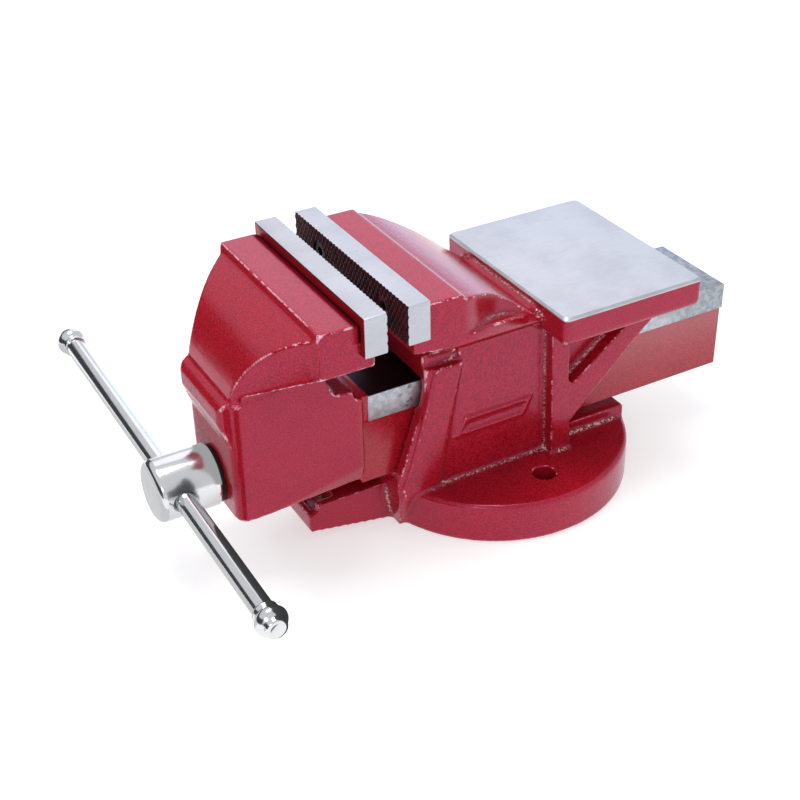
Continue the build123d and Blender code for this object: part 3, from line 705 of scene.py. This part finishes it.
spindleJoint = next(j for j in frame["joints"] if j["name"] == "spindle_turn")
handleJoint = next(j for j in frame["joints"] if j["name"] == "handle_slide")
spindle = {
    "axisHeight": spindleJoint["pos_m"][2] / mm, "front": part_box("lead_screw")[0].x / mm,
    "headRadius": 13.6, "headBack": -139.8, "frontRound": 3.2, "backRound": 1.3,
    "journal": 9.0, "journalEnd": -108.5, "journalRound": 0.6,
    "threadStart": -106.5, "threadEnd": 77.5, "threadRadius": 8.0, "threadRoot": 6.4, "pitch": 4.0,
    "thread": [(0.0, 0), (0.28, 0), (0.42, 1), (0.72, 1), (0.86, 0)],  # share of the pitch, lift
}
handle = {
    "x": -156.3, "radius": 4.45, "hole": 4.51, "far": 137.2, "near": -100.6, "knob": 11.5, "socket": 8.0,
    "holeEdge": 12.0, "flare": (1.1, 0.7), "mouth": (20.0, 8.0),  # hole cutter, along and wider
    "foot": [(0, 4.45), (0, 4.9), (0.35, 5.35), (1.2, 5.4), (1.6, 5.15), (2.1, 4.85), (2.5, 4.85)],
    "belly": (2.8, 6.2, 5.0, 1.72),  # from, length, radius, swell
    "crown": [
        (9.3, 4.75), (9.8, 4.7), (10.7, 4.62), (11.2, 4.35), (11.5, 3.8), (11.5, 2.9), (11.35, 2.6), (11.3, 0),
    ],
}


def addSpindle():
    s = spindle
    centre = (0, 0, s["axisHeight"] * mm)
    work = bmesh.new()
    turned(work, rounded([
        (s["front"], 0, 0), (s["front"], s["headRadius"], s["frontRound"]),
        (s["headBack"], s["headRadius"], s["backRound"]), (s["headBack"], s["journal"], 0),
        (s["journalEnd"], s["journal"], s["journalRound"]), (s["journalEnd"], s["threadRoot"], 0),
        (s["threadStart"] + 2, s["threadRoot"], 0), (s["threadStart"] + 2, 0, 0),
    ]), centre, (1, 0, 0), 128)
    mesh = bpy.data.meshes.new("spindleHead")
    work.to_mesh(mesh)
    work.free()
    piece = addPiece("spindleHead", mesh, "spindle", [chromeMaterial], ["lead_screw"])
    cutter = bmesh.new()
    hole, edge, (flare, wide), (end, mouth) = (handle[k] for k in ("hole", "holeEdge", "flare", "mouth"))
    half = [(edge, hole), (edge + flare, hole + wide), (end, hole + mouth), (end, 0)]
    profile = [(-along, radius) for along, radius in reversed(half)] + half
    turned(cutter, profile, (handle["x"] * mm, 0, s["axisHeight"] * mm), handleJoint["axis"], 72)
    cutMesh = bpy.data.meshes.new("holeCutter")
    cutter.to_mesh(cutMesh)
    cutter.free()
    smoothShade(cutWith(piece, cutMesh), 30)
    # the thread, one long helix on a core
    work = bmesh.new()
    steps = 36
    turns = int((s["threadEnd"] - s["threadStart"]) / s["pitch"])
    rows = []
    for k in range(turns * steps + 1):
        angle = 2 * math.pi * k / steps
        base = s["threadStart"] + s["pitch"] * k / steps
        fade = min(1.0, k / steps, (turns * steps - k) / steps)
        row = []
        for share, lift in s["thread"] + [(1.0, 0)]:
            radius = (s["threadRoot"] + lift * fade * (s["threadRadius"] - s["threadRoot"])) * mm
            y, z = -radius * math.sin(angle), centre[2] + radius * math.cos(angle)
            row.append(work.verts.new(((base + share * s["pitch"]) * mm, y, z)))
        rows.append(row)
    for one, two in zip(rows, rows[1:]):
        for i in range(len(s["thread"])):
            work.faces.new((one[i], one[i + 1], two[i + 1], two[i]))
    turned(work, [
        (s["threadStart"] + 1, 0), (s["threadStart"] + 1, s["threadRoot"] - 0.02),
        (s["threadEnd"] + 4.0, s["threadRoot"] - 0.02), (s["threadEnd"] + 5.0, s["threadRoot"] - 1.2),
        (s["threadEnd"] + 5.0, 0),
    ], centre, (1, 0, 0), 48)
    bmesh.ops.recalc_face_normals(work, faces=work.faces)
    mesh = bpy.data.meshes.new("spindleThread")
    work.to_mesh(mesh)
    work.free()
    smoothShade(mesh, 30)
    addPiece("spindleThread", mesh, "spindle", [zincMaterial], ["lead_screw"])


def addHandle():
    h = handle
    centre = (h["x"] * mm, 0, spindle["axisHeight"] * mm)
    work = bmesh.new()
    turned(work, rounded([
        (h["near"] + h["knob"] - h["socket"], 0, 0), (h["near"] + h["knob"] - h["socket"], h["radius"], 0.4),
        (h["far"] - h["knob"] + h["socket"], h["radius"], 0.4), (h["far"] - h["knob"] + h["socket"], 0, 0),
    ]), centre, handleJoint["axis"], 96)
    mesh = bpy.data.meshes.new("handleBar")
    work.to_mesh(mesh)
    work.free()
    smoothShade(mesh, 40)
    addPiece("handleBar", mesh, "handle", [chromeMaterial], ["handle_bar"])
    begin, length, radius, swell = h["belly"]
    belly = [(begin + length * k / 14, radius + swell * math.sin(math.pi * k / 14) ** 0.8) for k in range(15)]
    profile = h["foot"] + belly + h["crown"]
    for name, node, end, direction in (
        ("knobFar", "handle_knob_far", h["far"] - h["knob"], 1),
        ("knobNear", "handle_knob_near", h["near"] + h["knob"], -1),
    ):
        work = bmesh.new()
        turned(work, [(end + direction * a, r) for a, r in profile], centre, handleJoint["axis"], 96)
        mesh = bpy.data.meshes.new(name)
        work.to_mesh(mesh)
        work.free()
        smoothShade(mesh, 50)
        addPiece(name, mesh, "handle", [chromeMaterial], [node])


addSpindle()
addHandle()
print("spindle and handle made")


jawPlate = {
    "step": 0.42, "pitch": 2.3, "lean": 32.0, "depth": 0.42, "share": 0.42, "edge": 0.45,
    "black": (0.010, 0.008, 0.010, 1.0), "red": (0.095, 0.005, 0.014, 1.0),
    "groove": (0.006, 0.003, 0.004, 1.0), "runAndShade": (0.26, 0.006, 0.013, 1.0),
    "runLight": (0.38, 0.011, 0.022, 1.0), "runBlack": (0.010, 0.009, 0.010, 1.0), "runTop": (128.0, 128.5),
}
plateScrew = {"offset": 28.0, "height": 117.7, "head": 4.95, "shank": 2.55, "sink": 4.0, "reach": 12.0}


def knurlLook(start, place):
    groove = start.node("ShaderNodeAttribute", {"attribute_name": "groove"}, out=2)
    colour = place.noise(0.5, 3.0, 0.6).step(0.36, 0.60).into(jawPlate["black"], jawPlate["red"])
    return {
        "Base Color": (groove.step(0.2, 0.8) * 0.7).into(colour, jawPlate["groove"]),
        "Roughness": 0.38 + 0.25 * place.noise(1.5, 2.0, 0.5), "Metallic": 0.0,
        "Normal": place.noise(2.4, 2.0, 0.6).bump(0.3, 0.08 * mm), "Specular IOR Level": 0.25,
    }


def plateBackLook(start, place):
    # paint run up the back of the moving plate, black along its top edge
    high = place.part("Z") + place.noise(0.25, 3.0, 0.6) * 1.6
    red = place.noise(0.6, 2.0, 0.6).into(jawPlate["runAndShade"], jawPlate["runLight"])
    return {
        "Base Color": high.step(*jawPlate["runTop"]).into(red, jawPlate["runBlack"]),
        "Roughness": 0.30 + 0.2 * place.noise(1.2, 2.0, 0.5), "Metallic": 0.7,
        "Normal": place.noise(0.9, 2.0, 0.5).bump(0.3, 0.1 * mm),
    }


knurlMaterial = finish("knurlLacquer", knurlLook)
plateBackMaterial = finish("plateBackPaint", plateBackLook)


def addPlate(name, node, body, faceX, inward):
    low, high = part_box(node)
    width, height = (high.y - low.y) / mm, (high.z - low.z) / mm
    across, up = round(width / jawPlate["step"]), round(height / jawPlate["step"])
    lean = math.radians(jawPlate["lean"])
    work = bmesh.new()
    layer = work.verts.layers.float.new("groove")
    grid = []
    for j in range(up + 1):
        row = []
        for i in range(across + 1):
            y, z = width * i / across, height * j / up
            deep = 0.0
            for sign in (-1, 1):
                u = (y * math.cos(lean) + sign * z * math.sin(lean)) / jawPlate["pitch"] % 1.0
                deep = max(deep, 1.0 - min(u, 1.0 - u) / jawPlate["share"] * 2.0)
            deep = max(0.0, deep)
            x = faceX + inward * deep * jawPlate["depth"] * mm
            vertex = work.verts.new((x, low.y + y * mm, low.z + z * mm))
            vertex[layer] = deep
            row.append(vertex)
        grid.append(row)
    for j in range(up):
        for i in range(across):
            corners = (grid[j][i], grid[j][i + 1], grid[j + 1][i + 1], grid[j + 1][i])
            work.faces.new(corners).material_index = 1
    rim = [e for e in work.edges if len(e.link_faces) == 1]
    back = bmesh.ops.extrude_edge_only(work, edges=rim)["geom"]
    backX = low.x if inward < 0 else high.x
    moved = [v for v in back if isinstance(v, bmesh.types.BMVert)]
    for vertex in moved:
        vertex.co.x = backX
        vertex[layer] = 0.0
    for face in [f for f in back if isinstance(f, bmesh.types.BMFace)]:
        face.material_index = 0
    loop = [e for e in work.edges if len(e.link_faces) == 1]
    bmesh.ops.dissolve_limit(work, angle_limit=0.01, verts=moved, edges=loop)
    loop = [e for e in work.edges if len(e.link_faces) == 1]
    for face in bmesh.ops.holes_fill(work, edges=loop)["faces"]:
        face.material_index = 0
    bmesh.ops.recalc_face_normals(work, faces=work.faces)
    straight = []
    for e in work.edges:
        if len(e.link_faces) == 2 and all(f.material_index == 0 for f in e.link_faces):
            if e.calc_face_angle(0) > 1.0:
                straight.append(e)
    bmesh.ops.bevel(
        work, geom=straight, offset=jawPlate["edge"] * mm, segments=2, affect="EDGES", profile=0.5,
        clamp_overlap=True,
    )
    mesh = bpy.data.meshes.new(name)
    work.to_mesh(mesh)
    work.free()
    coats = [groundMaterial, knurlMaterial, plateBackMaterial]
    piece = addPiece(name, mesh, body, coats, [node])
    cutter = bmesh.new()
    for side in (-1, 1):
        turned(cutter, [
            (-1, 0), (-1, plateScrew["head"]), (plateScrew["sink"], plateScrew["head"]),
            (plateScrew["sink"], plateScrew["shank"]),
            (plateScrew["reach"], plateScrew["shank"]), (plateScrew["reach"], 0),
        ], (faceX, side * plateScrew["offset"] * mm, plateScrew["height"] * mm), (inward, 0, 0), 48)
    for face in cutter.faces:
        face.material_index = 1
    cutMesh = bpy.data.meshes.new("plateCutter")
    cutter.to_mesh(cutMesh)
    cutter.free()
    mesh = cutWith(piece, cutMesh)
    for face in mesh.polygons:
        if face.normal.x < -0.9 and inward < 0:
            face.material_index = 2
    smoothShade(mesh, 28)


addPlate("fixedPlate", "fixed_jaw_plate", "base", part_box("fixed_jaw_plate")[0].x, 1)
addPlate("movingPlate", "moving_jaw_plate", "sliding_jaw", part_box("moving_jaw_plate")[1].x, -1)
print("jaw plates made")


kept = {
    "fixed_jaw_screw_near": knurlMaterial, "fixed_jaw_screw_far": blackMaterial,
    "moving_jaw_screw_near": knurlMaterial, "moving_jaw_screw_far": blackMaterial,
    "nut_bolt": zincMaterial, "nut_washer": zincMaterial, "nut_pin": zincMaterial,
    "spindle_washer": blackMaterial, "disc_springs": zincMaterial, "pin_washer": zincMaterial,
    "split_pin": zincMaterial, "main_nut": nutMaterial,
}
for name, material in kept.items():
    mesh = frame["nodes"][name].data
    mesh.materials.clear()
    mesh.materials.append(material)
